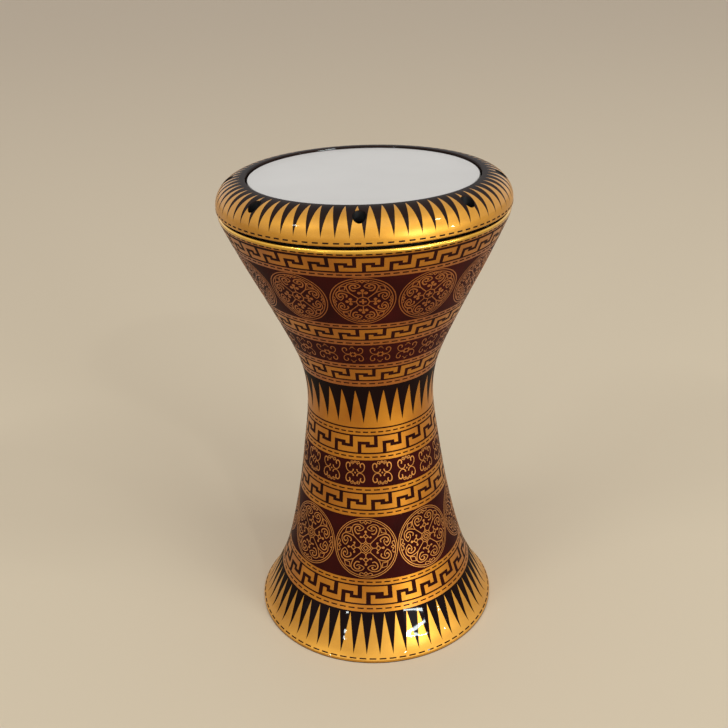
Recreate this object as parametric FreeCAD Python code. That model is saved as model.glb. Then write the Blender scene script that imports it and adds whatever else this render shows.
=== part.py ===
import FreeCAD, Part
import math
import os

# A darbuka, or goblet drum, of the cast aluminium kind, standing on its foot.
# Lengths are millimetres. +Z is up and the origin is the centre of the foot on the floor.

# Overall sizes of the drum
head_height = 450.0
ring_radius = 131.8
foot_radius = 120.7
waist_radius = 61.0
waist_height = 240.0
wall = 4.0

# Foot rim
foot_side_height = 3.0
foot_lip_width = 6.5

# Shoulder, where the ring is drawn down: a rolled bead round a flat deck, with bosses below
# and a neck above. The insets are measured in from the ring's outer radius.
shoulder_inset = 1.3
neck_inset = 29.9
shoulder_drop = 28.5
deck_thickness = 5.0
bead_radius = 2.2
bead_rise = 1.1
bead_start_degrees = -35
neck_fillet = 2.5
edge_land = 0.8
boss_radius = 6.5
boss_depth = 7.0

# Drum head: film with a turned-down collar, bonded with resin into a channel hoop
film_thickness = 0.3
film_corner = 0.9
film_collar_gap = 0.4
film_engagement = 4.8
collar_taper_height = 9.0
collar_spread = 2.0
hoop_height = 8.0
hoop_drop = 11.5
hoop_neck_gap = 0.6
hoop_inner_wall = 0.9
hoop_outer_wall = 1.1
hoop_floor = 1.0
resin_outer_wall = 0.9
resin_gap = 0.3
resin_drop = 0.5
resin_under_groove = 0.6

# Tuning ring
ring_rise = 1.4
ring_gap = 2.8
ring_wall = 4.0
ring_side_height = 4.2
ring_edge_radius = 1.2
crest_land = 1.2
lip_depth = 5.4
lip_film_gap = 1.7
skirt_film_gap = 1.3
skirt_hoop_gap = 0.3
skirt_thickness = 3.0
ring_boss_radius = 9.2
ring_boss_floor = 4.0
dome_steps = 6

# Tuning bolts, washers and threaded inserts
bolt_count = 8
first_bolt_degrees = -92.0
bolt_inset = 10.4
bolt_radius = 3.0
bolt_length = 20.0
bolt_head_radius = 5.0
bolt_head_height = 6.0
bolt_chamfer = 0.5
hex_sides = 6
hex_across_flats = 5.0
hex_depth = 3.0
head_sink = 8.0
counterbore_gap = 0.2
washer_radius = 5.4
washer_thickness = 1.2
washer_hole_gap = 0.2
ring_hole_gap = 0.3
insert_radius = 3.9
insert_length = 8.0
insert_bore_gap = 0.05
drill_depth_past_insert = 1.0
cut_overrun = 1.0

# Side of the goblet. Each pair is a share of the height from the foot to the waist and a share
# of the way from the waist's radius out to the foot's.
stem_shares = [(0.030, 0.930), (0.100, 0.775), (0.180, 0.620), (0.300, 0.455),
               (0.450, 0.310), (0.620, 0.180), (0.800, 0.075)]
# The same from the waist up to the shoulder.
bowl_shares = [(0.180, 0.059), (0.330, 0.198), (0.460, 0.350), (0.600, 0.522), (0.800, 0.771)]

# Heights and radii that follow from the sizes above
film_underside = head_height - film_thickness
deck_height = head_height - shoulder_drop
bead_height = deck_height - bead_rise
bead_centre_radius = ring_radius - shoulder_inset - bead_radius
neck_radius = ring_radius - neck_inset
neck_bore_radius = neck_radius - wall
bolt_circle_radius = ring_radius - bolt_inset
collar_inner = neck_radius + film_collar_gap
collar_outer = collar_inner + film_thickness
hoop_top = head_height - hoop_drop
hoop_bottom = hoop_top - hoop_height
hoop_inner = neck_radius + hoop_neck_gap
channel_inner = hoop_inner + hoop_inner_wall
seat_inner = collar_inner + collar_spread
seat_outer = seat_inner + film_thickness
groove_inner = seat_inner - resin_gap
groove_outer = seat_outer + resin_gap
channel_outer = groove_outer + resin_outer_wall
hoop_outer = channel_outer + hoop_outer_wall
groove_bottom = hoop_bottom + hoop_floor + resin_under_groove
ring_top = head_height + ring_rise
ring_bottom = bead_height + bead_radius + ring_gap
ring_inner = collar_outer + lip_film_gap
skirt_inner = seat_outer + skirt_film_gap
skirt_outer = skirt_inner + skirt_thickness
crest_radius = ring_inner + ring_edge_radius + crest_land
dome_height = ring_bottom + ring_side_height
bolt_seat = head_height - head_sink - bolt_head_height - washer_thickness
head_underside = bolt_seat + washer_thickness
insert_bore = bolt_radius + insert_bore_gap
counterbore_radius = washer_radius + counterbore_gap

UP = FreeCAD.Vector(0, 0, 1)
ORIGIN = FreeCAD.Vector(0, 0, 0)


def at(radius, height):
    """A point of a section, given by its radius and its height."""
    return FreeCAD.Vector(radius, 0, height)


def line(start, end):
    return Part.LineSegment(start, end).toShape()


def arc(start, middle, end):
    return Part.Arc(start, middle, end).toShape()


def on_circle(centre, radius, degrees):
    turn = math.radians(degrees)
    return centre + at(radius * math.cos(turn), radius * math.sin(turn))


def chain(points):
    """Straight edges from point to point."""
    return [line(a, b) for a, b in zip(points, points[1:])]


def smooth(points):
    """One smooth edge through the points."""
    curve = Part.BSplineCurve()
    curve.interpolate(points)
    return curve.toShape()


def turned(edges):
    """The solid that a closed section sweeps round the drum's axis."""
    section = Part.Face(Part.Wire(Part.__sortEdges__(edges)))
    solid = section.revolve(ORIGIN, UP, 360)
    return solid.reversed() if solid.Volume < 0 else solid


def cylinder(radius, bottom, top, place):
    base = FreeCAD.Vector(place.x, place.y, bottom)
    return Part.makeCylinder(radius, top - bottom, base, UP)


def bolt_places():
    """The centres of the bolts, the first at the front, anticlockwise seen from above."""
    places = []
    for number in range(bolt_count):
        turn = math.radians(first_bolt_degrees + number * 360 / bolt_count)
        places.append(FreeCAD.Vector(bolt_circle_radius * math.cos(turn),
                                     bolt_circle_radius * math.sin(turn), 0))
    return places


def goblet_side(inset, top):
    """The goblet's side as a smooth curve up to a height, moved in by a wall where asked."""
    cone_top = on_circle(at(bead_centre_radius, bead_height), bead_radius, bead_start_degrees)
    stations = [at(foot_radius - inset, foot_side_height)]
    for height_share, radius_share in stem_shares:
        radius = waist_radius + radius_share * (foot_radius - waist_radius)
        stations.append(at(radius - inset, height_share * waist_height))
    stations.append(at(waist_radius - inset, waist_height))
    for height_share, radius_share in bowl_shares:
        radius = waist_radius + radius_share * (cone_top.x - waist_radius)
        height = waist_height + height_share * (cone_top.z - waist_height)
        stations.append(at(radius - inset, height))
    last = stations[-1]
    slope = (cone_top.x - inset - last.x) / (cone_top.z - last.z)
    stations.append(at(last.x + slope * (top - last.z), top))
    return smooth(stations), stations


def outer_section():
    """Edges of the goblet's outside, from the foot's outer edge up to the bore of the neck."""
    bead_centre = at(bead_centre_radius, bead_height)
    bead_start = on_circle(bead_centre, bead_radius, bead_start_degrees)
    side, stations = goblet_side(0, bead_start.z)
    deck_turn = math.degrees(math.asin(bead_rise / bead_radius))
    deck_edge = on_circle(bead_centre, bead_radius, 180 - deck_turn)
    fillet_out = at(neck_radius + neck_fillet, deck_height)
    fillet_up = at(neck_radius, deck_height + neck_fillet)
    fillet_centre = at(neck_radius + neck_fillet, deck_height + neck_fillet)
    edge_round = (wall - edge_land) / 2
    land_out = at(neck_radius - edge_round, film_underside)
    land_in = at(neck_bore_radius + edge_round, film_underside)
    round_out = at(neck_radius - edge_round, film_underside - edge_round)
    round_in = at(neck_bore_radius + edge_round, film_underside - edge_round)
    neck_top = at(neck_radius, round_out.z)
    bore_top = at(neck_bore_radius, round_in.z)
    return [
        line(at(foot_radius, 0), stations[0]),
        side,
        arc(stations[-1], on_circle(bead_centre, bead_radius, 0), deck_edge),
        line(deck_edge, fillet_out),
        arc(fillet_out, on_circle(fillet_centre, neck_fillet, 225), fillet_up),
        line(fillet_up, neck_top),
        arc(neck_top, on_circle(round_out, edge_round, 45), land_out),
        line(land_out, land_in),
        arc(land_in, on_circle(round_in, edge_round, 135), bore_top),
    ]


def shell():
    """The cast goblet, with a bearing edge, a beaded shoulder, bosses, a waist and a foot."""
    outer = outer_section()
    bore_top = outer[-1].Vertexes[-1].Point
    full = turned(outer + chain([bore_top, at(0, bore_top.z), at(0, 0), at(foot_radius, 0)]))

    under_deck = deck_height - deck_thickness
    side, stations = goblet_side(wall, under_deck)
    lip = at(foot_radius - foot_lip_width, 0)
    hollow = [side] + chain([
        stations[-1],
        at(neck_bore_radius, under_deck),
        at(neck_bore_radius, bore_top.z),
        at(neck_bore_radius, ring_top),
        at(0, ring_top),
        at(0, -cut_overrun),
        at(lip.x, -cut_overrun),
        lip,
        stations[0],
    ])
    body = full.cut(turned(hollow))

    boss_top = under_deck + deck_thickness / 2
    middle, stations = goblet_side(wall / 2, boss_top)
    core = turned([middle] + chain([
        stations[-1], at(0, boss_top), at(0, foot_side_height), stations[0],
    ]))
    for place in bolt_places():
        boss = cylinder(boss_radius, under_deck - boss_depth, boss_top, place)
        body = body.fuse(boss.common(core))
    for place in bolt_places():
        drill_bottom = deck_height - insert_length - drill_depth_past_insert
        body = body.cut(cylinder(insert_bore, drill_bottom, deck_height + cut_overrun, place))
        socket_bottom = deck_height - insert_length
        body = body.cut(cylinder(insert_radius, socket_bottom, deck_height + cut_overrun, place))
    return body


def head_film():
    """Film over the bearing edge, turned down and spread into the hoop's groove."""
    bend_outer = at(collar_outer - film_corner, head_height - film_corner)
    corner = on_circle(bend_outer, film_corner, 45)
    taper_top = head_height - film_corner
    taper_bottom = taper_top - collar_taper_height
    film_end = hoop_top - film_engagement
    outside = [
        line(at(0, head_height), at(bend_outer.x, head_height)),
        arc(at(bend_outer.x, head_height), corner, at(collar_outer, taper_top)),
    ] + chain([
        at(collar_outer, taper_top),
        at(seat_outer, taper_bottom),
        at(seat_outer, film_end),
        at(seat_inner, film_end),
        at(seat_inner, taper_bottom),
        at(collar_inner, taper_top),
    ])
    inner_corner = film_corner - film_thickness
    inside = [
        arc(at(collar_inner, taper_top), on_circle(bend_outer, inner_corner, 45),
            at(bend_outer.x, film_underside)),
        line(at(bend_outer.x, film_underside), at(0, film_underside)),
        line(at(0, film_underside), at(0, head_height)),
    ]
    return turned(outside + inside)


def head_hoop():
    """Aluminium channel, open at the top, that holds the film's edge."""
    floor = hoop_bottom + hoop_floor
    return turned(chain([
        at(hoop_inner, hoop_bottom), at(hoop_outer, hoop_bottom), at(hoop_outer, hoop_top),
        at(channel_outer, hoop_top), at(channel_outer, floor), at(channel_inner, floor),
        at(channel_inner, hoop_top), at(hoop_inner, hoop_top), at(hoop_inner, hoop_bottom),
    ]))


def head_resin():
    """Bonding resin that fills the channel round the film."""
    floor = hoop_bottom + hoop_floor
    top = hoop_top - resin_drop
    return turned(chain([
        at(channel_inner, floor), at(channel_outer, floor), at(channel_outer, top),
        at(groove_outer, top), at(groove_outer, groove_bottom), at(groove_inner, groove_bottom),
        at(groove_inner, top), at(channel_inner, top), at(channel_inner, floor),
    ]))


def dome(inset, last_radius):
    """The ring's rounded back as a quarter of an ellipse, from its side in to a radius."""
    centre = at(crest_radius, dome_height)
    across = ring_radius - crest_radius - inset
    upward = ring_top - dome_height - inset
    last_turn = math.acos((last_radius - crest_radius) / across)
    points = []
    for step in range(dome_steps + 1):
        turn = last_turn * step / dome_steps
        points.append(centre + at(across * math.cos(turn), upward * math.sin(turn)))
    return smooth(points), points


def tuning_ring():
    """Hollow cast ring: a rounded back, an inner skirt on the hoop, and a boss at each bolt."""
    back, back_points = dome(0, crest_radius)
    round_centre = at(ring_inner + ring_edge_radius, ring_top - ring_edge_radius)
    lip_bottom = ring_top - lip_depth
    side_bottom = at(ring_radius, ring_bottom + ring_edge_radius)
    foot_centre = at(ring_radius - ring_edge_radius, ring_bottom + ring_edge_radius)
    foot_point = at(foot_centre.x, ring_bottom)
    front = [
        line(at(ring_inner, lip_bottom), at(ring_inner, round_centre.z)),
        arc(at(ring_inner, round_centre.z), on_circle(round_centre, ring_edge_radius, 135),
            at(round_centre.x, ring_top)),
        line(at(round_centre.x, ring_top), back_points[-1]),
        back,
        line(back_points[0], side_bottom),
        arc(side_bottom, on_circle(foot_centre, ring_edge_radius, -45), foot_point),
    ]
    beside_hoop = hoop_outer + skirt_hoop_gap
    filled = turned(front + chain([
        foot_point, at(beside_hoop, ring_bottom), at(beside_hoop, hoop_top),
        at(skirt_inner, hoop_top), at(skirt_inner, lip_bottom), at(ring_inner, lip_bottom),
    ]))

    inner_back, inner_points = dome(ring_wall, skirt_outer)
    hollow = turned([inner_back] + chain([
        inner_points[-1],
        at(skirt_outer, hoop_top),
        at(neck_radius, hoop_top),
        at(neck_radius, ring_bottom - cut_overrun),
        at(ring_radius - ring_wall, ring_bottom - cut_overrun),
        inner_points[0],
    ]))
    body = filled.cut(hollow)

    boss_bottom = bolt_seat - ring_boss_floor
    for place in bolt_places():
        body = body.fuse(cylinder(ring_boss_radius, boss_bottom, ring_top, place).common(filled))
    for place in bolt_places():
        through = cylinder(bolt_radius + ring_hole_gap, ring_bottom, ring_top, place)
        body = body.cut(through)
        body = body.cut(cylinder(counterbore_radius, bolt_seat, ring_top + cut_overrun, place))
    return body


def tuning_bolt(place):
    """Socket cap screw with a hexagon socket and a chamfered tip."""
    head_top = head_underside + bolt_head_height
    tip = head_underside - bolt_length
    section = chain([
        at(0, tip), at(bolt_radius - bolt_chamfer, tip), at(bolt_radius, tip + bolt_chamfer),
        at(bolt_radius, head_underside), at(bolt_head_radius, head_underside),
        at(bolt_head_radius, head_top - bolt_chamfer),
        at(bolt_head_radius - bolt_chamfer, head_top), at(0, head_top), at(0, tip),
    ])
    screw = turned(section)
    corner_radius = hex_across_flats / math.sqrt(3)
    corners = []
    for number in range(hex_sides + 1):
        turn = math.radians(number * 360 / hex_sides)
        corners.append(FreeCAD.Vector(corner_radius * math.cos(turn),
                                      corner_radius * math.sin(turn), head_top - hex_depth))
    socket = Part.Face(Part.makePolygon(corners)).extrude(UP * (hex_depth + cut_overrun))
    screw = screw.cut(socket)
    screw.translate(place)
    return screw


def bolt_washer(place):
    disc = cylinder(washer_radius, bolt_seat, head_underside, place)
    return disc.cut(cylinder(bolt_radius + washer_hole_gap, bolt_seat - cut_overrun,
                             head_underside + cut_overrun, place))


def lug_insert(place):
    """Threaded steel insert, pressed into a boss of the shell."""
    bottom = deck_height - insert_length
    plug = cylinder(insert_radius, bottom, deck_height, place)
    return plug.cut(cylinder(insert_bore, bottom - cut_overrun, deck_height + cut_overrun, place))


def save(name, shape):
    """Write one node, and print its size as a check."""
    solids = shape.Solids
    box = shape.BoundBox
    print("%-16s solids %d valid %s volume %.0f z %.1f to %.1f" % (
        name, len(solids), shape.isValid(), shape.Volume, box.ZMin, box.ZMax))
    shape.exportStep("parts/%s.step" % name)


os.makedirs("parts", exist_ok=True)
save("shell", shell())
save("head_film", head_film())
save("head_hoop", head_hoop())
save("head_resin", head_resin())
save("tuning_ring", tuning_ring())
for number, place in enumerate(bolt_places(), 1):
    save("tuning_bolt_%d" % number, tuning_bolt(place))
    save("bolt_washer_%d" % number, bolt_washer(place))
    save("lug_insert_%d" % number, lug_insert(place))
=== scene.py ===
import math

import bpy
import numpy as np
from mathutils import Matrix, Vector


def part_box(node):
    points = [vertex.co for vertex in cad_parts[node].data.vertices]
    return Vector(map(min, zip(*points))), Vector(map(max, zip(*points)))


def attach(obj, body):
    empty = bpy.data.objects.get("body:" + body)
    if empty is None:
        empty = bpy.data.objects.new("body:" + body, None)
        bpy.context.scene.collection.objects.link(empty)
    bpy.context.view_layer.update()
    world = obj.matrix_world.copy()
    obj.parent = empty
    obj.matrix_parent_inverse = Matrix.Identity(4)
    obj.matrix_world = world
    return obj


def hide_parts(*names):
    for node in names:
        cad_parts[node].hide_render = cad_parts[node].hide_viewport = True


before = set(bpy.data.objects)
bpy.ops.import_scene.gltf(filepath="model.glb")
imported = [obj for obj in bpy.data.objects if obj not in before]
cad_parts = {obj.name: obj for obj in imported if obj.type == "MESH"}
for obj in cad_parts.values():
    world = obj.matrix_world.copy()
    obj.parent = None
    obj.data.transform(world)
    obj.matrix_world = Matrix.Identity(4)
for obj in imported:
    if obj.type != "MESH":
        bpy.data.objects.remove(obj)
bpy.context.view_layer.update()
bpy.ops.object.select_all(action="DESELECT")
mm = 0.001


# Camera
# It stands about 0.9 m from the drum and looks down on it, as the photograph does.
# Its place, turn and focal length come from the outlines of the ring, the foot and the bands.
camera_place = Vector((0, -837.5, 657.1)) * mm
camera_pitch = math.radians(25.14)
camera_yaw = math.radians(-0.36)
camera_roll = math.radians(-2.0)
focal_pixels = 957.1
frame_pixels = 728
sensor_width = 36.0

camera = bpy.data.objects.new("camera", bpy.data.cameras.new("camera"))
bpy.context.collection.objects.link(camera)
camera.data.sensor_width = sensor_width
camera.data.lens = sensor_width * focal_pixels / frame_pixels
camera.matrix_world = (Matrix.Translation(camera_place)
                       @ Matrix.Rotation(-camera_yaw, 4, "Z")
                       @ Matrix.Rotation(math.radians(90) - camera_pitch, 4, "X")
                       @ Matrix.Rotation(camera_roll, 4, "Z"))
bpy.context.scene.camera = camera


# Cast goblet
# The body is sand-cast aluminium, about 4 mm thick, and turned smooth only where it shows.
# Inside, the metal is left bare: grey, matt and slightly grainy from the sand of the mould.
bare_aluminium = "#8F8E8C"
bare_aluminium_dark = "#6B6A69"
sand_cloud = 18 * mm
sand_grain = 1.2 * mm
sand_relief = 0.08 * mm
sand_limits = (0.35, 0.70)


def linear(hex_colour):
    """An sRGB hex colour as the linear values that a shader takes."""
    channels = [int(hex_colour[k:k + 2], 16) / 255 for k in (1, 3, 5)]
    return [c / 12.92 if c <= 0.04045 else ((c + 0.055) / 1.055) ** 2.4 for c in channels] + [1]


def add_node(owner, kind, settings=None, links=None):
    """A node with its own settings, its inputs set to values or linked to other nodes' outputs."""
    node = owner.node_tree.nodes.new(kind)
    for name, value in (settings or {}).items():
        setattr(node, name, value)
    for name, value in (links or {}).items():
        if isinstance(value, bpy.types.NodeSocket):
            owner.node_tree.links.new(value, node.inputs[name])
        else:
            node.inputs[name].default_value = value
    return node


def new_material(name, surface_values):
    """A material with one shader, whose even values are set on its own sockets."""
    material = bpy.data.materials.new(name)
    material.use_nodes = True
    shader = material.node_tree.nodes["Principled BSDF"]
    for socket, value in surface_values.items():
        shader.inputs[socket].default_value = value
    return material, shader


def mottle(material, shader, factor, limits, dark, light):
    """Colour a surface from dark to light as the factor goes from one limit to the other."""
    ramp = add_node(material, "ShaderNodeValToRGB", links={"Fac": factor})
    for element, limit, colour in zip(ramp.color_ramp.elements, limits, (dark, light)):
        element.position = limit
        element.color = linear(colour)
    material.node_tree.links.new(ramp.outputs["Color"], shader.inputs["Base Color"])


def noise_of(material, size, detail=2.0):
    """Noise over the piece, whose blotches are about as large as the size, in metres."""
    place = add_node(material, "ShaderNodeTexCoord")
    noise = add_node(material, "ShaderNodeTexNoise", links={
        "Vector": place.outputs["Object"], "Scale": 1 / size, "Detail": detail})
    return noise.outputs["Fac"]


def relief(material, shader, height, depth, socket="Normal"):
    """Small hills on a surface, as high as the depth, from a height between nought and one."""
    bump = add_node(material, "ShaderNodeBump", links={"Height": height, "Distance": depth})
    material.node_tree.links.new(bump.outputs["Normal"], shader.inputs[socket])


def cast_aluminium():
    """Bare sand-cast aluminium: a dull metal with a fine grain and cloudy grey patches."""
    material, shader = new_material("sand_cast_aluminium", {"Metallic": 1.0, "Roughness": 0.55})
    mottle(material, shader, noise_of(material, sand_cloud, 4.0), sand_limits,
           bare_aluminium_dark, bare_aluminium)
    relief(material, shader, noise_of(material, sand_grain, 3.0), sand_relief)
    return material


def finish_node(node, material):
    """Give a piece of the frame its material."""
    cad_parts[node].data.materials.clear()
    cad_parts[node].data.materials.append(material)


finish_node("shell", cast_aluminium())


# Thread inserts
# Eight steel sleeves are pressed into bosses under the shoulder, because a screw soon strips
# threads cut in cast aluminium. They are zinc plated, which is bright with a faint blue.
bolt_count = 8
zinc_bright = "#C9CCD0"
zinc_dull = "#A7ABB0"
zinc_spangle = 2.5 * mm
spangle_limits = (0.35, 0.65)


def zinc_plate():
    """Zinc plating: bright, a little mottled where the crystals catch the light."""
    material, shader = new_material("zinc_plated_steel", {"Metallic": 1.0, "Roughness": 0.32})
    mottle(material, shader, noise_of(material, zinc_spangle), spangle_limits, zinc_dull,
           zinc_bright)
    return material


zinc = zinc_plate()
for number in range(1, bolt_count + 1):
    finish_node("lug_insert_%d" % number, zinc)


# Printed side of the goblet
# A printed film covers the outside from the foot to the bead, and a clear lacquer seals it. Its
# grounds are gold, old gold, wine red and black, band over band. The gold round the foot is a
# lighter copy, painted light on the upward-facing foot. The bead under the ring is polished, and
# its gold is painted brighter still, as a painted highlight along it.
foot_radius = 120.7
foot_side_height = 3.0
waist_radius = 61.0
waist_height = 240.0
stem_shares = [(0.030, 0.930), (0.100, 0.775), (0.180, 0.620), (0.300, 0.455),
               (0.450, 0.310), (0.620, 0.180), (0.800, 0.075)]
bowl_shares = [(0.180, 0.059), (0.330, 0.198), (0.460, 0.350), (0.600, 0.522), (0.800, 0.771)]
bead_place = (128.3, 420.4)
bead_radius = 2.2
bead_start = math.radians(-35)
bead_end = math.radians(140)
bead_steps = 14
bead_bottom = 419.1
outline_points = 2000
merge_distance = 0.002 * mm
smooth_angle = math.radians(40)
print_lift = 0.2
print_depth = 0.6
print_floor_gap = 0.25
side_steps = 112
round_steps = 240
gold_print = "#BA771A"
gold_print_deep = "#A05D12"
# A lighter copy of the gold for the foot and for the foot's and the ring's flames: painted light,
# as these parts face up towards the light.
gold_print_painted_lit = "#CB9034"
gold_print_painted_lit_deep = "#B47B24"
copper_gold_print = "#C4803C"
copper_gold_print_deep = "#A86A2E"
# The bead is polished metal, and its colour is also painted brighter than the other gold, as a
# painted highlight along the bead.
bead_gold_painted_highlight = "#E2B248"
bead_gold_painted_highlight_deep = "#D09C34"
old_gold_print = "#AA6526"
old_gold_print_deep = "#904E1B"
wine_print = "#350A08"
wine_print_deep = "#240504"
black_print = "#160706"
black_print_deep = "#0E0404"
ink_flake = 0.7 * mm
ink_cloud = 35 * mm
flake_share = 0.35
ink_limits = (0.45, 0.90)
peel_size = 6 * mm
peel_relief = 0.010 * mm
# The lowest 0.9 mm of the foot is coloured black, a dark line along its edge at the floor.
foot_edge_height = 0.9
gold_top = 500.0
# Each ground runs from the height before it up to its own height.
# The gold band round the foot uses the lighter gold, painted light on the upward-facing foot.
grounds = [(foot_edge_height, "black"), (6.8, "bright gold"), (43.4, "black"), (74.5, "gold"),
           (137.4, "wine"), (167.6, "gold"), (194.9, "wine"), (231.9, "gold"), (272.0, "black"),
           (279.1, "old gold"), (292.9, "gold"), (298.9, "old gold"), (321.6, "wine"),
           (327.9, "old gold"), (340.4, "gold"), (345.8, "old gold"), (396.4, "wine"),
           (401.8, "old gold"), (bead_bottom, "gold"), (gold_top, "bead gold")]


def spline_through(points, count):
    """Points along the smooth curve through the given ones, as many as the count."""
    points = np.array(points, float)
    reach = np.concatenate([[0], np.cumsum(np.linalg.norm(np.diff(points, axis=0), axis=1))])
    step = np.diff(reach)
    last = len(points) - 1

    def end_slope(a, b, c):
        """The slope at a of the parabola through three of the points."""
        return ((points[b] - points[a]) / (reach[b] - reach[a])
                + (points[c] - points[a]) / (reach[c] - reach[a])
                - (points[c] - points[b]) / (reach[c] - reach[b]))

    matrix = np.eye(last + 1)
    slopes = np.zeros_like(points)
    slopes[0] = end_slope(0, 1, 2)
    slopes[last] = end_slope(last, last - 1, last - 2)
    for k in range(1, last):
        matrix[k, k - 1:k + 2] = [1 / step[k - 1], 2 / step[k - 1] + 2 / step[k], 1 / step[k]]
        slopes[k] = (3 * (points[k] - points[k - 1]) / step[k - 1] ** 2
                     + 3 * (points[k + 1] - points[k]) / step[k] ** 2)
    slopes = np.linalg.solve(matrix, slopes)
    at = np.linspace(0, reach[last], count)
    k = np.clip(np.searchsorted(reach, at, side="right") - 1, 0, last - 1)
    run = step[k][:, None]
    t = ((at - reach[k]) / step[k])[:, None]
    return ((2 * t ** 3 - 3 * t ** 2 + 1) * points[k] + (t ** 3 - 2 * t ** 2 + t) * run * slopes[k]
            + (3 * t ** 2 - 2 * t ** 3) * points[k + 1] + (t ** 3 - t ** 2) * run * slopes[k + 1])


class Surface:
    """An outline turned round the drum's axis, on which patterns are laid."""

    def __init__(self, outline):
        self.radius, self.height = np.array(outline, float).T
        run = np.hypot(np.diff(self.radius), np.diff(self.height))
        self.length = np.concatenate([[0], np.cumsum(run)])
        self.across = np.gradient(self.radius, self.length)
        self.up = np.gradient(self.height, self.length)

    def at(self, angle, length, lift):
        """Points at an angle from the front, a length along the outline and a lift off it."""
        radius = np.interp(length, self.length, self.radius)
        height = np.interp(length, self.length, self.height)
        radius = radius + lift * np.interp(length, self.length, self.up)
        height = height - lift * np.interp(length, self.length, self.across)
        return np.stack([radius * np.sin(angle), -radius * np.cos(angle), height], -1) * mm

    def radius_at(self, length):
        return np.interp(length, self.length, self.radius)

    def length_at_height(self, height):
        return float(np.interp(height, self.height, self.length))


def goblet_outline():
    """Radius and height along the side, from the foot's edge up to the bead."""
    top_radius = bead_place[0] + bead_radius * math.cos(bead_start)
    top_height = bead_place[1] + bead_radius * math.sin(bead_start)
    stations = [(foot_radius, foot_side_height)]
    for height_share, radius_share in stem_shares:
        stations.append((waist_radius + radius_share * (foot_radius - waist_radius),
                         height_share * waist_height))
    stations.append((waist_radius, waist_height))
    for height_share, radius_share in bowl_shares:
        stations.append((waist_radius + radius_share * (top_radius - waist_radius),
                         waist_height + height_share * (top_height - waist_height)))
    stations.append((top_radius, top_height))
    return spline_through(stations, outline_points)


side = Surface(goblet_outline())


def new_piece(name, mesh):
    """An object for a mesh, selected and ready for modelling."""
    piece = bpy.data.objects.new(name, mesh)
    bpy.context.collection.objects.link(piece)
    bpy.context.view_layer.objects.active = piece
    piece.select_set(True)
    return piece


def face_outwards():
    """Turn all faces of the piece in hand outwards."""
    bpy.ops.object.mode_set(mode="EDIT")
    bpy.ops.mesh.select_all(action="SELECT")
    bpy.ops.mesh.normals_make_consistent(inside=False)
    bpy.ops.object.mode_set(mode="OBJECT")


def smooth(piece):
    """Shade a piece smooth between its sharp edges, and deselect it."""
    bpy.ops.object.shade_smooth_by_angle(angle=smooth_angle)
    piece.select_set(False)


def lathe(name, outline, steps):
    """A closed outline in radius and height, in millimetres, spun into one solid."""
    mesh = bpy.data.meshes.new(name)
    count = len(outline)
    mesh.from_pydata([(0, -r * mm, h * mm) for r, h in outline],
                     [(k, (k + 1) % count) for k in range(count)], [])
    piece = new_piece(name, mesh)
    bpy.ops.object.mode_set(mode="EDIT")
    bpy.ops.mesh.select_all(action="SELECT")
    bpy.ops.mesh.spin(steps=steps, angle=2 * math.pi, center=(0, 0, 0), axis=(0, 0, 1))
    bpy.ops.mesh.select_all(action="SELECT")
    bpy.ops.mesh.remove_doubles(threshold=merge_distance)
    bpy.ops.mesh.normals_make_consistent(inside=False)
    bpy.ops.object.mode_set(mode="OBJECT")
    smooth(piece)
    return piece


def arc_points(centre, across, start, end, steps, up=None):
    """Points along an arc, or along a part of an ellipse where its half height is given."""
    up = across if up is None else up
    turns = np.linspace(start, end, steps + 1)
    return [(centre[0] + across * math.cos(t), centre[1] + up * math.sin(t)) for t in turns]


def offset_points(outline, lift):
    """An outline moved off itself by a lift, outwards where the outline runs upwards."""
    points = np.array(outline, float)
    ahead = np.gradient(points, axis=0)
    ahead /= np.linalg.norm(ahead, axis=1)[:, None]
    return points + lift * np.stack([ahead[:, 1], -ahead[:, 0]], -1)


def print_heights():
    """Heights up the side where the print's mesh has a ring, each ground's edge among them."""
    low = foot_side_height
    high = bead_place[1] + bead_radius * math.sin(bead_start)
    even = list(np.linspace(low, high, side_steps))
    edges = [height for height, ground in grounds if low < height < high]
    spacing = (high - low) / side_steps
    kept = [h for h in even if min(abs(h - e) for e in edges) > spacing / 2]
    return sorted(kept + edges)


def lacquered_print(name, colour, deep, surface_values):
    """Printed ink under clear lacquer: fine flakes in the ink, and a glossy, slightly wavy coat."""
    material, shader = new_material(name, surface_values)
    flakes = noise_of(material, ink_flake)
    clouds = noise_of(material, ink_cloud)
    mix = add_node(material, "ShaderNodeMath", {"operation": "MULTIPLY_ADD"},
                   {0: flakes, 1: flake_share, 2: clouds})
    mottle(material, shader, mix.outputs["Value"], ink_limits, deep, colour)
    # Orange peel, as a sprayed lacquer dries, about 6 mm from hill to hill
    relief(material, shader, noise_of(material, peel_size, 0.0), peel_relief, "Coat Normal")
    return material


# Gold foil shines through its tinted lacquer. The dark inks are matt and get all their gloss
# from the lacquer, which is thin, so its shine is weaker than that of a thick varnish.
gold_surface = {"Metallic": 0.85, "Roughness": 0.45, "Coat Weight": 0.26, "Coat IOR": 1.45,
                "Coat Roughness": 0.03}
bead_surface = {"Metallic": 1.0, "Roughness": 0.22, "Coat Weight": 0.4, "Coat IOR": 1.45,
                "Coat Roughness": 0.03}
dark_surface = {"Metallic": 0.0, "Roughness": 0.6, "Specular IOR Level": 0.0,
                "Coat Weight": 0.2, "Coat IOR": 1.35, "Coat Roughness": 0.03}
gold = lacquered_print("gold_ink_under_lacquer", gold_print, gold_print_deep, gold_surface)
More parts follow.
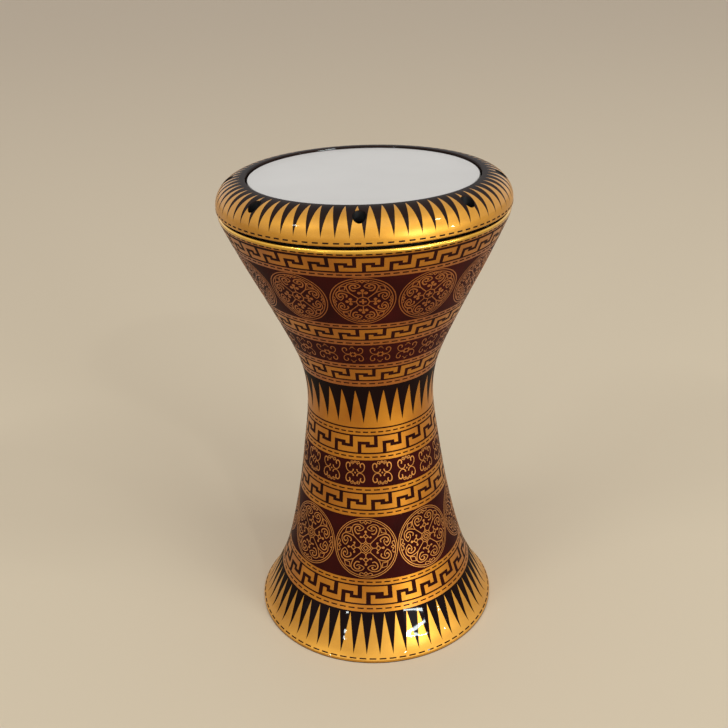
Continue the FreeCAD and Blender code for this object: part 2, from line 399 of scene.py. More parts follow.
# The lighter gold: painted light for the upward-facing foot and ring.
gold_painted_lit = lacquered_print("gold_ink_painted_lit", gold_print_painted_lit,
                              gold_print_painted_lit_deep, gold_surface)
copper_gold = lacquered_print("copper_gold_ink_under_lacquer", copper_gold_print,
                              copper_gold_print_deep, gold_surface)
old_gold = lacquered_print("old_gold_ink_under_lacquer", old_gold_print, old_gold_print_deep,
                           gold_surface)
# Polished bead gold, with its colour painted brighter as a highlight.
polished_gold_painted_highlight = lacquered_print("polished_bead_gold_painted_highlight", bead_gold_painted_highlight, bead_gold_painted_highlight_deep, bead_surface)
wine = lacquered_print("wine_ink_under_lacquer", wine_print, wine_print_deep, dark_surface)
black = lacquered_print("black_ink_under_lacquer", black_print, black_print_deep, dark_surface)
inks = {"gold": gold, "bright gold": gold_painted_lit, "copper gold": copper_gold,
        "old gold": old_gold, "bead gold": polished_gold_painted_highlight, "wine": wine, "black": black}


def printed_side():
    """The printed film: a thin closed skin over the goblet, coloured in bands."""
    heights = print_heights()
    outline = [(foot_radius, print_floor_gap), (foot_radius, foot_edge_height),
               (foot_radius, (foot_edge_height + foot_side_height) / 2)]
    outline += [(side.radius_at(side.length_at_height(h)), h) for h in heights]
    outline += arc_points(bead_place, bead_radius, bead_start, bead_end, bead_steps)[1:]
    outer = offset_points(outline, print_lift)
    inner = offset_points(outline, -print_depth)
    inner[:, 1] = np.maximum(inner[:, 1], print_floor_gap)
    piece = lathe("printed_side", [tuple(p) for p in outer] + [tuple(p) for p in inner[::-1]],
                  round_steps)
    names = sorted(set(name for top, name in grounds))
    for name in names:
        piece.data.materials.append(inks[name])
    for face in piece.data.polygons:
        ground = next(name for top, name in grounds if face.center.z < top * mm)
        face.material_index = names.index(ground)
    return piece


goblet_print = printed_side()
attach(goblet_print, "drum_shell")


# Greek keys
# Six bands of a broken key in near-black brown ink run round the gold, with a thin line along
# each edge of the band. The ink lies under the lacquer, and stands up by a tenth of a
# millimetre. The thin lines are drawn a little wider than the real ones, so that they show.
ink_lift = print_lift + 0.10
ink_depth = 0.15
edge_line_width = 1.5
run_step = 3.0
# Each band: its lowest and highest height, its count of keys, the angle of one key's first
# bar, the widths of the bars and of the step and the middle of the step as shares of the way
# to the next key, the middles of the upper and the lower run as shares of the band's height,
# and how much wider the step of that one key is, where the print's ends meet
key_bands = [(50.3, 68.3, 23, -5.10, 0.178, 0.146, 0.335, 0.574, 0.380, 3.0),
             (144.2, 161.0, 19, -0.65, 0.160, 0.145, 0.370, 0.560, 0.405, 0.9),
             (201.7, 219.3, 17, -10.66, 0.150, 0.172, 0.330, 0.589, 0.425, 0.0),
             (279.1, 292.9, 19, -9.47, 0.135, 0.190, 0.335, 0.565, 0.410, 0.0),
             (327.9, 340.4, 25, -0.94, 0.142, 0.150, 0.325, 0.565, 0.410, 0.0),
             (401.8, 415.6, 36, -0.88, 0.145, 0.150, 0.335, 0.565, 0.405, 0.0)]
key_run_share = 0.165
key_brown = "#2A0A06"
key_brown_deep = "#1C0604"
key_end_share = 0.66


class Inlay:
    """Thin closed plates laid on a surface, gathered into one piece."""

    def __init__(self, surface, lift=ink_lift, depth=ink_depth):
        self.surface = surface
        self.lift = lift
        self.depth = depth
        self.points = []
        self.faces = []
        self.count = 0

    def add(self, rows, closed=False):
        """Rows of points, each an angle and a length up the surface, joined into one plate."""
        rows = np.asarray(rows, float)
        many, wide = rows.shape[:2]
        angle, length = rows[..., 0].ravel(), rows[..., 1].ravel()
        self.points.append(self.surface.at(angle, length, self.lift))
        self.points.append(self.surface.at(angle, length, self.lift - self.depth))
        under = many * wide
        spot = np.arange(under).reshape(many, wide) + self.count
        if closed:
            spot = np.concatenate([spot, spot[:1]])
        a, b, c, d = spot[:-1, :-1], spot[:-1, 1:], spot[1:, 1:], spot[1:, :-1]
        top = np.stack([a, d, c, b], -1).reshape(-1, 4)
        edges = [(spot[:-1, 0], spot[1:, 0]), (spot[1:, -1], spot[:-1, -1])]
        if not closed:
            edges += [(spot[0, 1:], spot[0, :-1]), (spot[-1, :-1], spot[-1, 1:])]
        self.faces.append(top)
        self.faces.append(top[:, ::-1] + under)
        for start, end in edges:
            self.faces.append(np.stack([start, end, end + under, start + under], -1)[:, ::-1])
        self.count += 2 * under

    def add_flat(self, rows, angle, length, radius, closed):
        """Rows drawn flat in millimetres about a centre, x to the right and y up the surface."""
        rows = np.asarray(rows, float)
        self.add(np.stack([angle + rows[..., 0] / radius, length + rows[..., 1]], -1), closed)

    def finish(self, name, material, body):
        """Make the plates one piece, which rides on a body and shows in a slot."""
        mesh = bpy.data.meshes.new(name)
        mesh.from_pydata(np.concatenate(self.points).tolist(), [],
                         np.concatenate(self.faces).tolist())
        mesh.materials.append(material)
        piece = new_piece(name, mesh)
        face_outwards()
        smooth(piece)
        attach(piece, body)


def round_line(inlay, length, width):
    """A thin line all the way round a surface, at a length up it."""
    angles = np.linspace(0, 2 * math.pi, round_steps, endpoint=False)
    edges = [np.stack([angles, np.full_like(angles, length + way * width / 2)], -1)
             for way in (1, -1)]
    inlay.add(np.stack(edges, 1), closed=True)


def divided_rows(rows, radius):
    """Pairs of points with more pairs between them, so that the plate follows the side."""
    rows = np.asarray(rows, float)
    found = [rows[0]]
    for before, after in zip(rows, rows[1:]):
        across, along = (after - before).mean(0)
        parts = max(1, math.ceil(math.hypot(across * radius, along) / run_step))
        found += [before + (after - before) * k / parts for k in range(1, parts + 1)]
    return np.array(found)


def key_band(number, low_height, high_height, count, turn, bar, step, middle, upper, lower, joint):
    """One band of keys between its two lines. A key is a bent strip, corner by corner."""
    low = side.length_at_height(low_height)
    high = side.length_at_height(high_height)
    end = key_end_share
    run = key_run_share / 2
    strip = np.array([[(-bar / 2, 0), (bar / 2, 0)],
                      [(-bar / 2, upper + run), (bar / 2, upper - run)],
                      [(middle + step / 2, upper + run), (middle - step / 2, upper - run)],
                      [(middle + step / 2, lower + run), (middle - step / 2, lower - run)],
                      [(end - bar / 2, lower + run), (end + bar / 2, lower - run)],
                      [(end - bar / 2, 1), (end + bar / 2, 1)]])
    pitch = math.radians(360 - joint) / count
    inlay = Inlay(side)
    start = math.radians(turn)
    for k in range(count):
        extra = math.radians(joint) if k == 0 else 0
        rows = strip * [pitch, high - low] + [start, low]
        rows[2:4, 0, 0] += extra
        rows[4:, :, 0] += extra
        inlay.add(divided_rows(rows, side.radius_at((low + high) / 2)))
        start += pitch + extra
    for edge in (low, high):
        round_line(inlay, edge, edge_line_width)
    inlay.finish("greek_key_%d" % number, key_ink, "drum_shell")


key_ink = lacquered_print("brown_key_ink_under_lacquer", key_brown, key_brown_deep, dark_surface)
for number, band in enumerate(key_bands, 1):
    key_band(number, *band)


# Stitched lines
# A row of short dark dashes, like stitches, runs along the middle of each plain stripe, under
# the bead and round the foot. A thin dark line closes the stripe under the bead, and another
# the stripe under the waist's flames.
dash_width = 1.25
dash_share = 0.68
# Each row: its height, its count of dashes and the angle of one of them
dash_rows = [(4.1, 77, 1.9), (46.5, 67, 1.1), (71.8, 64, 1.3), (140.6, 53, -2.0),
             (164.8, 51, 2.7), (198.0, 54, 2.1), (223.0, 55, 1.3), (275.4, 53, 1.6),
             (296.2, 56, 1.3), (324.1, 68, -0.9), (343.5, 73, -1.9), (398.9, 100, 0.5),
             (418.5, 105, 1.1)]
line_heights = [226.9, 416.3]
thin_line_width = 1.4
dash_points = 4
mitre_limit = 2.0


def stroke(points, width, closed=False):
    """Pairs of points on both sides of a line of a given width, or of a width at each point."""
    points = np.array(points, float)
    if closed:
        ahead = np.roll(points, -1, axis=0) - points
        behind = points - np.roll(points, 1, axis=0)
    else:
        runs = np.diff(points, axis=0)
        ahead = np.concatenate([runs, runs[-1:]])
        behind = np.concatenate([runs[:1], runs])
    ahead = ahead / np.linalg.norm(ahead, axis=1)[:, None]
    behind = behind / np.linalg.norm(behind, axis=1)[:, None]
    middle = ahead + behind
    middle /= np.linalg.norm(middle, axis=1)[:, None]
    side_way = np.stack([-middle[:, 1], middle[:, 0]], -1)
    mitre = 1 / np.maximum((middle * ahead).sum(1), 1 / mitre_limit)
    half = (np.broadcast_to(width, len(points)) / 2 * mitre)[:, None]
    return np.stack([points + side_way * half, points - side_way * half], 1)


def dash_row(inlay, length, count, turn, width, share):
    """Dashes round a surface, each as long as a share of the way to the next."""
    pitch = 2 * math.pi / count
    across = np.linspace(-pitch / 2 * share, pitch / 2 * share, dash_points)
    rows = np.array([[(x, length + width / 2), (x, length - width / 2)] for x in across])
    for k in range(count):
        inlay.add(rows + [math.radians(turn) + pitch * k, 0])


stitches = Inlay(side)
for height, count, turn in dash_rows:
    dash_row(stitches, side.length_at_height(height), count, turn, dash_width, dash_share)
for height in line_heights:
    round_line(stitches, side.length_at_height(height), thin_line_width)
stitches.finish("stitched_lines", key_ink, "drum_shell")


# Roundels
# Twelve roundels ring the bowl and eight larger ones the stem: a cross of branches that fork
# into paired lobes and scrolls, with a small fleur on each arm. The upper ones are drawn in
# broad old-gold lines and the lower ones in fine copper-gold lines.
circle_steps = 72
lobe_steps = 16
lip_steps = 8
curl_steps = 6
spot_sides = 10
broad_frame_sides = 8
# The design in shares of the roundel's radius. Each line is drawn for the upward arm or for the
# branch to its right, and is repeated by turns and mirrors.
branch_shares = [(0.145, 0.145), (0.365, 0.365)]
lobe_shares = [(0.365, 0.365), (0.435, 0.534), (0.446, 0.652), (0.384, 0.741), (0.240, 0.775),
               (0.117, 0.731), (0.051, 0.658)]
lip_shares = [(0.051, 0.658), (0.127, 0.589), (0.230, 0.569), (0.290, 0.603)]
scroll_shares = [(0.189, 0.484), (0.271, 0.460), (0.333, 0.524), (0.353, 0.623), (0.302, 0.696),
                 (0.220, 0.706), (0.175, 0.656), (0.216, 0.623)]
frame_shares = [(0.145, 0.145), (0.06, 0.16), (0.0, 0.24)]
broad_stem_shares = [[(0.0, 0.20), (0.0, 0.42)]]
fine_stem_shares = [[(0.0, 0.24), (0.0, 0.315)], [(0.0, 0.465), (0.0, 0.52)]]
knot_shares = [(0.0, 0.315), (0.075, 0.39), (0.0, 0.465), (-0.075, 0.39)]
arm_shares = [(0.075, 0.39), (0.12, 0.352), (0.155, 0.36)]
leaf_shares = [(0.50, 0.50), (0.475, 0.66), (0.62, 0.62), (0.66, 0.475)]
rim_knot_shares = [(0.0, 0.79), (0.05, 0.845), (0.0, 0.90), (-0.05, 0.845)]
rim_curl_shares = [(0.06, 0.87), (0.13, 0.82), (0.19, 0.86), (0.16, 0.90)]
broad_frame_share = 0.20
cross_reach = 0.11
cross_width = 0.06
lozenge_sizes = [0.155, 0.075]
outer_circle_share = 0.985
fine_width_share = 0.8
spot_middle_share = 0.52
spot_width_share = 0.96
trefoil_places = [(0.0, 0.475), (0.10, 0.37), (-0.10, 0.37)]
trefoil_radius = 0.055
bud_spots = [((0.0, 0.54), 0.04), ((0.155, 0.36), 0.033), ((-0.155, 0.36), 0.033)]
# Each band: the length up the side of its centres, a roundel's radius, its count, the angle of
# one of them and its ink. Then, as shares of the radius, the widths of its lines and scrolls,
# its inner circle and the width of its circles, and last whether its middle and arms are broad
roundel_bands = [("upper_roundels", 388.5, 27.4, 12, -1.9, "old gold",
                  0.034, 0.046, 0.90, 0.030, True),
                 ("lower_roundels", 111.8, 31.2, 8, -6.6, "copper gold",
                  0.025, 0.033, 0.925, 0.022, False)]


def turned_shares(shares, quarter):
    """A line of the design turned by quarter turns about the roundel's centre."""
    for _ in range(quarter):
        shares = [(-y, x) for x, y in shares]
    return shares


def swapped(shares):
    """The line's mirror image across the branch between two arms."""
    return [(y, x) for x, y in shares]


def mirrored(shares):
    """The line's mirror image across an arm."""
    return [(-x, y) for x, y in shares]


def ring_shares(centre, radius, steps):
    turns = np.linspace(0, 2 * math.pi, steps, endpoint=False)
    return [(centre[0] + radius * math.cos(t), centre[1] + radius * math.sin(t)) for t in turns]


def spot_line(centre, radius):
    """A filled round spot, as a closed line as wide as the spot's radius."""
    middle = ring_shares(centre, radius * spot_middle_share, spot_sides)
    return middle, radius * spot_width_share, True


def centre_lines(broad, line):
    """The middle of a roundel: an eight-sided frame with a cross, or two nested lozenges."""
    if broad:
        return [(ring_shares((0, 0), broad_frame_share, broad_frame_sides), line, True),
                ([(-cross_reach, 0.0), (cross_reach, 0.0)], cross_width, False),
                ([(0.0, -cross_reach), (0.0, cross_reach)], cross_width, False)]
    return [([(size, 0), (0, size), (-size, 0), (0, -size)], line, True)
            for size in lozenge_sizes]


def arm_lines(broad, line):
    """The fleur on an arm: a filled trefoil, or an open knot with three buds."""
    stems = broad_stem_shares if broad else fine_stem_shares
    lines = [(points, line, False) for points in stems]
    if broad:
        lines += [spot_line(centre, trefoil_radius) for centre in trefoil_places]
        return lines + [([trefoil_places[2], trefoil_places[1]], line, False)]
    lines += [spot_line(centre, radius) for centre, radius in bud_spots]
    lines.append((knot_shares, line, True))
    return lines + [(spline_through(shares, curl_steps), line, False)
                    for shares in (arm_shares, mirrored(arm_shares), frame_shares,
                                   mirrored(frame_shares))]


def roundel_lines(line, scroll, inner_circle, circle_line, broad):
    """Every line of a roundel: its points as shares of the radius, its width, and if it closes."""
    fine = line * fine_width_share
    lines = [(ring_shares((0, 0), outer_circle_share, circle_steps), circle_line, True),
             (ring_shares((0, 0), inner_circle, circle_steps), circle_line, True)]
    lines += centre_lines(broad, line)
    quarter_lines = arm_lines(broad, line)
    quarter_lines.append((branch_shares, line, False))
    for change in (list, swapped):
        quarter_lines.append((spline_through(change(lobe_shares), lobe_steps), line, False))
        quarter_lines.append((spline_through(change(lip_shares), lip_steps), line, False))
        quarter_lines.append((spline_through(change(scroll_shares), lobe_steps), scroll, False))
    quarter_lines.append((leaf_shares, fine, True))
    quarter_lines.append((rim_knot_shares, fine, True))
    for change in (list, mirrored):
        quarter_lines.append((spline_through(change(rim_curl_shares), curl_steps), fine, False))
    for quarter in range(4):
        for shares, width, closed in quarter_lines:
            points = [tuple(point) for point in shares]
            lines.append((turned_shares(points, quarter), width, closed))
    return lines


def roundel_band(name, centre, radius, count, turn, ink, *design):
    inlay = Inlay(side)
    for shares, width, closed in roundel_lines(*design):
        rows = stroke(np.array(shares) * radius, width * radius, closed)
        for k in range(count):
            inlay.add_flat(rows, math.radians(turn) + 2 * math.pi * k / count, centre,
                           side.radius_at(centre), closed)
    inlay.finish(name, inks[ink], "drum_shell")


for band in roundel_bands:
    roundel_band(*band)


# Scrolled flowers
# Between the keys run two bands of small flowers, each of four C-scrolls about its middle. The
# upper ones are shorter, in old gold about a lozenge. The lower ones have loops and a dot, in
# copper gold, and one gap between them is wider, where the print's ends meet.
# Each band: the length up the side of its centres, half a flower's width and height, its count,
# the angle of the one beside the joint, its ink, the thickness of its lines, the extra width of
# the gap at the joint in degrees, and whether it has loops
flower_bands = [("upper_flowers", 321.1, 9.1, 11.1, 21, 7.02, "old gold", 0.62, 0.0, False),
                ("lower_flowers", 189.1, 9.3, 12.8, 17, 7.55, "copper gold", 0.7, 0.9, True)]
petal_shares = [(0.18, 0.28), (0.24, 0.12), (0.45, 0.035), (0.69, 0.07), (0.87, 0.21),
                (0.96, 0.40), (0.95, 0.60), (0.80, 0.745), (0.62, 0.72), (0.53, 0.57),
                (0.60, 0.43)]
petal_width_shares = [1.8, 1.1, 1.0, 1.0, 1.05, 1.1, 1.3, 1.6, 1.6, 1.6, 1.4]
petal_steps = 24
lozenge_shares = [(0.285, 0.0), (0.0, 0.234), (-0.285, 0.0), (0.0, -0.234)]
arch_shares = [(0.177, 0.87), (0.09, 0.89), (0.0, 0.94)]
inner_arch_shares = [(0.293, 0.638), (0.153, 0.745), (0.0, 0.87)]
link_shares = [(0.525, 0.709), (0.43, 0.727)]
loop_place = (0.34, 0.816)
loop_radius = 1.1
loop_sides = 12
dot_radius = 0.9
arch_width_share = 0.8
loop_width_share = 0.9


def flower_lines(half_wide, half_tall, looped):
    """Every line of a flower: its points in millimetres, its width for a line of 1 mm."""
    size = np.array([half_wide, half_tall])
    petal = spline_through(petal_shares, petal_steps)
    widths = np.interp(np.linspace(0, 1, petal_steps),
                       np.linspace(0, 1, len(petal_width_shares)), petal_width_shares)
    lines = [spot_line((0, 0), dot_radius)] if looped else [(lozenge_shares * size, 1.0, True)]
    for x_way in (1, -1):
        for y_way in (1, -1):
            way = np.array([x_way, y_way])
            shapes = [(petal * size, widths, False), (arch_shares * size, arch_width_share, False),
                      (inner_arch_shares * size, arch_width_share, False)]
            if looped:
                loop = np.array(ring_shares(loop_place * size, loop_radius, loop_sides))
                shapes += [(loop, loop_width_share, True),
                           (link_shares * size, loop_width_share, False)]
            lines += [(points * way, width, closed) for points, width, closed in shapes]
    return lines


def flower_band(name, centre, half_wide, half_tall, count, turn, ink, line, joint, looped):
    inlay = Inlay(side)
    way = math.radians(360 - joint) / count
    for points, width, closed in flower_lines(half_wide, half_tall, looped):
        rows = stroke(points, np.array(width) * line, closed)
        for k in range(count):
            inlay.add_flat(rows, math.radians(turn) + way * k, centre, side.radius_at(centre),
                           closed)
    inlay.finish(name, inks[ink], "drum_shell")


for band in flower_bands:
    flower_band(*band)


# Gold flames
# Long gold points rise from the waist and from the foot into a black ground, like flames.
# Their sides bulge a little, so that the black between them runs down to a fine point.
# Each band: its lowest and highest height, its count of flames, the angle of one of them and
# its ink
# The foot's flames use the lighter gold, painted light on the upward-facing foot.
flame_bands = [("waist_flames", 231.9, 267.0, 31, -0.78, "gold"),
               ("foot_flames", 6.8, 41.8, 56, -2.56, "bright gold")]
flame_rows = 16
flame_columns = (-1, -0.5, 0, 0.5, 1)
flame_tip_share = 0.012
flame_power = 0.9
flame_overlap = 0.4


def flame_band(name, low_height, high_height, count, turn, ink):
    """Points of gold, as wide as the way to the next one at the foot and fine at the tip."""
    inlay = Inlay(side)
    low = side.length_at_height(low_height)
    high = side.length_at_height(high_height)
    half = math.pi / count
    for k in range(count):
        centre = math.radians(turn) + 2 * half * k
        rows = [[(centre + way * half, low - flame_overlap) for way in flame_columns]]
        for step in range(flame_rows + 1):
            share = step / flame_rows
            wide = half * max((1 - share) ** flame_power, flame_tip_share)
            rows.append([(centre + way * wide, low + share * (high - low))
                         for way in flame_columns])
        inlay.add(rows)
    inlay.finish(name, inks[ink], "drum_shell")


for band in flame_bands:
    flame_band(*band)


# Drum head
# The head is a satin grey polyester film. It is drawn over the goblet's rounded edge, and its
# turned-down collar is potted with resin in an aluminium hoop that the ring pulls down.
film_corner = 0.9
film_corner_steps = 8
film_thickness = 0.3
film_radius = 102.6
film_seat_radius = 104.6
film_taper_height = 9.0
film_light = "#D1C9C3"
film_dark = "#CCC4BE"
film_cloud = 60 * mm
film_tooth = 0.8 * mm
film_relief = 0.008 * mm
head_limits = (0.30, 0.70)
resin_amber = "#B39A62"
resin_dark = "#9C8450"
resin_cloud = 9 * mm
hoop_silver = "#B9BBBD"
roll_mark = 5 * mm


def polyester_film():
    """Satin polyester: an even pale grey with the finest tooth and a faint cloudiness."""
    material, shader = new_material("satin_polyester_film", {"Roughness": 0.42, "IOR": 1.57})
    mottle(material, shader, noise_of(material, film_cloud, 3.0), head_limits, film_dark,
           film_light)
    relief(material, shader, noise_of(material, film_tooth), film_relief)
    return material


def drum_head():
    low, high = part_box("head_film")
    top = high.z / mm
    end = low.z / mm
    corner = (film_radius - film_corner, top - film_corner)
    taper_top = top - film_corner
    taper_end = taper_top - film_taper_height
    seat = film_seat_radius
    inner = film_radius - film_thickness
    outline = [(0, top), (film_radius / 3, top), (film_radius * 2 / 3, top)]
    outline += arc_points(corner, film_corner, math.radians(90), 0, film_corner_steps)
    outline += [(seat, taper_end), (seat, end), (seat - film_thickness, end),
                (seat - film_thickness, taper_end), (inner, taper_top)]
    outline += arc_points(corner, film_corner - film_thickness, 0, math.radians(90),
                          film_corner_steps)[1:]
    outline += [(0, top - film_thickness)]
    return lathe("drum_head_film", outline, round_steps)


def hoop_aluminium():
    """Rolled aluminium strip: bright, with faint marks of the rolls."""
    material, shader = new_material("rolled_aluminium", {"Metallic": 1.0, "Roughness": 0.3})
    mottle(material, shader, noise_of(material, roll_mark), head_limits, zinc_dull, hoop_silver)
    return material


def potting_resin():
    """Cast epoxy: amber, a little clear, with a smooth set surface."""
    material, shader = new_material("potting_epoxy", {"Roughness": 0.25, "IOR": 1.55})
    mottle(material, shader, noise_of(material, resin_cloud), head_limits, resin_dark, resin_amber)
    return material


head = drum_head()
head.data.materials.append(polyester_film())
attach(head, "drum_shell")
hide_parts("head_film")
finish_node("head_hoop", hoop_aluminium())
finish_node("head_resin", potting_resin())


# Tuning ring
# A hollow aluminium ring rolls over the edge of the drum and hides the hoop. Its casting is
# coloured near-black, which also stands in as painted shade in the bolt holes, under the ring and
# in the gap round the film. The print on its back is black with gold flames that point to the film,
# under lacquer.
ring_low, ring_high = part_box("tuning_ring")
ring_radius = ring_high.x / mm
ring_top = ring_high.z / mm
ring_bottom = ring_low.z / mm
ring_opening = 104.3
ring_edge_round = 1.2
ring_crest_radius = 106.7
ring_dome_height = 429.6
ring_foot_round = 1.2
ring_lip_depth = 5.4
ring_dome_steps = 40
ring_edge_steps = 6
ring_flames = 72
ring_flame_turn = math.radians(2.2)
ring_flame_columns = 4
ring_flame_start = 5.6
ring_flame_base_height = 432.3
ring_flame_power = 0.85
ring_tip_share = 0.012
ring_base_share = 0.985
ring_print_lift = 0.12
ring_print_depth = 0.7
bolt_circle_radius = 121.4
first_bolt = math.radians(-2)
bolt_hole_radius = 5.6
bolt_hole_depth = 30.0
bolt_hole_sides = 48
# Near-black for the ring's casting, which stands in as painted shade in the bolt holes and the gap
# round the film.
casting_black_painted_shade = "#0D0A09"
casting_black_painted_shade_deep = "#080606"
casting_grain = 1.5 * mm
powder_grain = 0.9 * mm
powder_relief = 0.03 * mm
powder_limits = (0.30, 0.70)
ring_black_print = "#2A1B16"
ring_black_print_deep = "#1C110E"


def ring_outline():
    """The ring's back from the opening's edge, over the crest and down to its foot."""
    outline = [(ring_opening, ring_top - ring_lip_depth)]
    outline += arc_points((ring_opening + ring_edge_round, ring_top - ring_edge_round),
                          ring_edge_round, math.radians(180), math.radians(90),
                          ring_edge_steps)
    outline += arc_points((ring_crest_radius, ring_dome_height), ring_radius - ring_crest_radius,
                          math.radians(90), 0, ring_dome_steps, ring_top - ring_dome_height)
    foot = (ring_radius - ring_foot_round, ring_bottom + ring_foot_round)
    outline += arc_points(foot, ring_foot_round, 0, math.radians(-90), ring_edge_steps)
    return outline


def black_coat_painted_shade():
    """Near-black coat, matt, with a fine leathery grain; it also serves as painted shade in the
    holes and gaps.
    """
    material, shader = new_material("black_coat_and_painted_shade", {"Roughness": 0.6,
                                                          "Specular IOR Level": 0.2})
    mottle(material, shader, noise_of(material, casting_grain), powder_limits,
           casting_black_painted_shade_deep, casting_black_painted_shade)
    relief(material, shader, noise_of(material, powder_grain, 1.0), powder_relief)
    return material


def drill(piece):
    """Cut the bolt holes through a piece, and colour their walls black, as painted shade in the
    holes.
    """
    for number in range(bolt_count):
        turn = first_bolt + 2 * math.pi * number / bolt_count
        bpy.ops.mesh.primitive_cylinder_add(
            vertices=bolt_hole_sides, radius=bolt_hole_radius * mm, depth=bolt_hole_depth * mm,
            location=(bolt_circle_radius * math.sin(turn) * mm,
                      -bolt_circle_radius * math.cos(turn) * mm, ring_top * mm))
        bit = bpy.context.active_object
        for ink in (gold_painted_lit, ring_black):
            bit.data.materials.append(ink)
        bit.data.polygons.foreach_set("material_index", [1] * len(bit.data.polygons))
        cut = piece.modifiers.new("bolt_hole", "BOOLEAN")
        cut.operation = "DIFFERENCE"
        cut.solver = "EXACT"
        cut.object = bit
        bpy.context.view_layer.objects.active = piece
        bpy.ops.object.modifier_apply(modifier=cut.name)
        bpy.data.objects.remove(bit)


def ring_print():
    """The ring's printed skin. Its columns lean with the flames, so that their edges are sharp."""
    outline = offset_points(ring_outline(), -ring_print_lift)
    under = offset_points(ring_outline(), ring_print_depth)
    lengths = Surface(outline).length
    start = lengths[1] + ring_flame_start
    crest = ring_edge_steps + 1
    base = float(np.interp(-ring_flame_base_height, -outline[crest:, 1], lengths[crest:]))
    places = np.union1d(lengths, [start, base])
    rows = []
    for place in places:
        share = np.clip((place - start) / (base - start), 0, 1) ** ring_flame_power
        rows.append((np.interp(place, lengths, outline[:, 0]),
                     np.interp(place, lengths, outline[:, 1]),
                     np.clip(share, ring_tip_share, ring_base_share)))
    for radius, height in under[::-1]:
        rows.append((radius, height, 0.5))
    half = math.pi / ring_flames
    points = []
    for radius, height, gold_share in rows:
        for flame in range(ring_flames):
            for column in range(2 * ring_flame_columns):
                step = column / ring_flame_columns
                if step < 1:
                    turn = (2 * step - 1) * gold_share
                else:
                    turn = gold_share + 2 * (step - 1) * (1 - gold_share)
                angle = ring_flame_turn + 2 * half * flame + half * turn
                points.append((radius * math.sin(angle) * mm, -radius * math.cos(angle) * mm,
                               height * mm))
    columns = 2 * ring_flame_columns * ring_flames
    spot = np.arange(len(rows) * columns).reshape(len(rows), columns)
    faces = []
    dark = []
    for k in range(len(rows)):
        below = (k + 1) % len(rows)
        above_flames = k < len(places) and places[k] < start
        beside_flames = k < len(places) and places[k] < base
        for column in range(columns):
            beside = (column + 1) % columns
            faces.append((spot[k, column], spot[below, column], spot[below, beside],
                          spot[k, beside]))
            between = column % (2 * ring_flame_columns) >= ring_flame_columns
            dark.append(above_flames or (beside_flames and between))
    mesh = bpy.data.meshes.new("ring_print")
    mesh.from_pydata(points, [], faces)
    # The flames use the lighter gold, painted light on the ring's upward-facing back.
    for ink in (gold_painted_lit, ring_black):
        mesh.materials.append(ink)
    mesh.polygons.foreach_set("material_index", [int(d) for d in dark])
    piece = new_piece("ring_print", mesh)
    face_outwards()
    drill(piece)
    smooth(piece)
    return piece


ring_black = lacquered_print("ring_black_under_lacquer", ring_black_print, ring_black_print_deep,
                             dark_surface)
# The ring's casting in near-black, which paints the shade in its holes and in the gap round the
# film.
finish_node("tuning_ring", black_coat_painted_shade())
ring_skin = ring_print()
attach(ring_skin, "ring_assembly")

# The stitched line round the ring's foot
ring_dashes = 97
ring_dash_turn = -2.5
ring_dash_height = 428.1
ring_dash_share = 0.58
ring_dash_lift = ring_print_lift + 0.08
ring_side = Surface([(ring_radius, ring_bottom + ring_foot_round), (ring_radius, ring_dome_height)])
ring_stitches = Inlay(ring_side, lift=ring_dash_lift)
dash_row(ring_stitches, ring_side.length_at_height(ring_dash_height), ring_dashes,
         ring_dash_turn, dash_width, ring_dash_share)
ring_stitches.finish("ring_stitches", ring_black, "ring_assembly")


# Tuning screws
# Eight M6 socket-head screws, blackened in hot oxide and oiled, stand deep in the ring's holes.
# Each bears on a narrow zinc-plated washer and runs in its insert in the shoulder.
oxide_black = "#0E0E10"
oxide_sheen = "#18181A"
oxide_mottle = 1.6 * mm


def black_oxide():
    """Black oxide on steel: dark, slightly oily, a little lighter where it has been handled."""
    material, shader = new_material("black_oxide_steel", {"Metallic": 1.0, "Roughness": 0.4})
    mottle(material, shader, noise_of(material, oxide_mottle), spangle_limits, oxide_black,
           oxide_sheen)
    return material


oxide = black_oxide()
for number in range(1, bolt_count + 1):
    finish_node("tuning_bolt_%d" % number, oxide)
    finish_node("bolt_washer_%d" % number, zinc)


# Floor and light
# A plain pale floor lies in a bright white room, with a broad soft box above the drum and a
# smaller one on the right. A low strip on the right, small lamps and a narrow strip high up on
# each side give the lacquer its sharp highlights.
floor_size = 60.0
floor_colour = "#DDC8AC"
room_white = "#FFFFFF"
lamp_white = "#EAF6F8"
room_strength = 0.45
lamp_distance = 5.0
# Watts per square metre of a lamp of brightness 1, which looks 1.27 times as bright as the room
lamp_power = 4
lamp_aim = Vector((0, 0, 0.25))
# Each lamp: its direction from the drum, round from the front and up, in degrees, its width and
# height as seen from the drum, in degrees, and its brightness
lamps = [("soft_box_above", 0, 62, 60, 36, 0.9),
         ("soft_box_right", 36, 10, 17, 22, 2.6),
         ("strip_right", 38, 4.5, 20, 1.2, 170),
         ("spot_far_right", 66, 3.5, 1.6, 3.0, 170),
         ("spot_above_right", 26, 33, 2.5, 1.5, 170),
         ("spot_left", -32, 5, 2.5, 1.2, 170),
         ("strip_high_left", -57, 39, 14, 0.8, 90),
         ("strip_high_right", 62, 42, 14, 0.8, 90)]


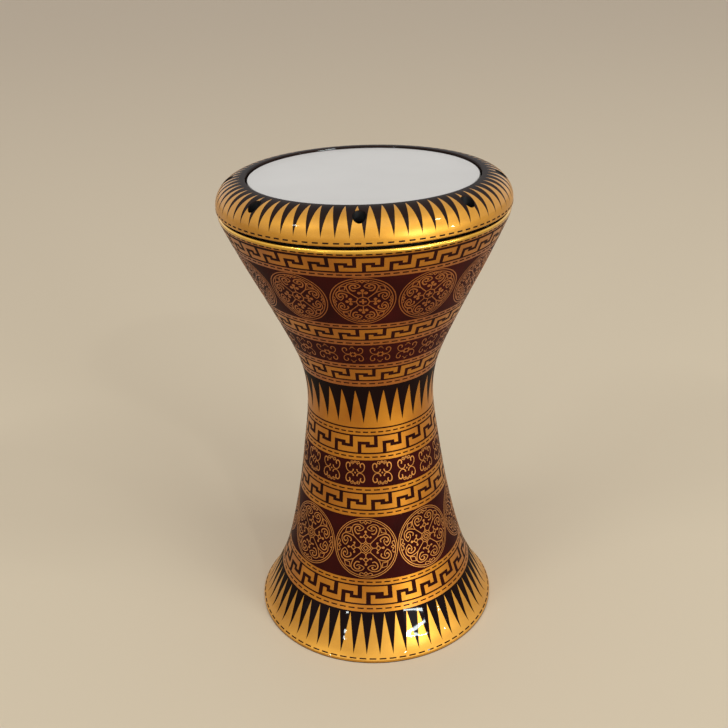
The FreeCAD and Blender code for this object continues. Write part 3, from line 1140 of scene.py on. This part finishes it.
def plain_floor():
    material, shader = new_material("pale_floor", {"Roughness": 0.7})
    shader.inputs["Base Color"].default_value = linear(floor_colour)
    bpy.ops.mesh.primitive_plane_add(size=floor_size)
    piece = bpy.context.active_object
    piece.name = "floor"
    piece.data.materials.append(material)
    piece.select_set(False)
    return piece


def bright_room():
    """White walls where the camera or a shine shows them, and a softer light from all round."""
    world = bpy.data.worlds.new("room")
    world.use_nodes = True
    rays = add_node(world, "ShaderNodeLightPath")
    seen = add_node(world, "ShaderNodeMath", {"operation": "ADD"},
                    {0: rays.outputs["Is Camera Ray"], 1: rays.outputs["Is Glossy Ray"]})
    shown = add_node(world, "ShaderNodeMath", {"operation": "ADD", "use_clamp": True},
                     {0: seen.outputs["Value"], 1: rays.outputs["Is Transmission Ray"]})
    strength = add_node(world, "ShaderNodeMapRange", links={
        "Value": shown.outputs["Value"], "To Min": room_strength, "To Max": 1.0})
    background = world.node_tree.nodes["Background"]
    background.inputs["Color"].default_value = linear(room_white)
    world.node_tree.links.new(strength.outputs["Result"], background.inputs["Strength"])
    return world


def lamp(name, azimuth, elevation, wide, tall, brightness):
    """A rectangular lamp far out in a direction from the drum, which faces the drum."""
    light = bpy.data.lights.new(name, "AREA")
    light.shape = "RECTANGLE"
    light.size = 2 * lamp_distance * math.tan(math.radians(wide / 2))
    light.size_y = 2 * lamp_distance * math.tan(math.radians(tall / 2))
    light.energy = lamp_power * brightness * light.size * light.size_y
    light.color = linear(lamp_white)[:3]
    holder = bpy.data.objects.new(name, light)
    bpy.context.collection.objects.link(holder)
    turn, rise = math.radians(azimuth), math.radians(elevation)
    way = Vector((math.sin(turn) * math.cos(rise), -math.cos(turn) * math.cos(rise),
                  math.sin(rise)))
    holder.location = lamp_aim + way * lamp_distance
    holder.rotation_euler = (-way).to_track_quat("-Z", "Y").to_euler()
    holder.visible_camera = False


plain_floor()
bpy.context.scene.world = bright_room()
for values in lamps:
    lamp(*values)

bpy.context.scene.view_settings.view_transform = "Standard"
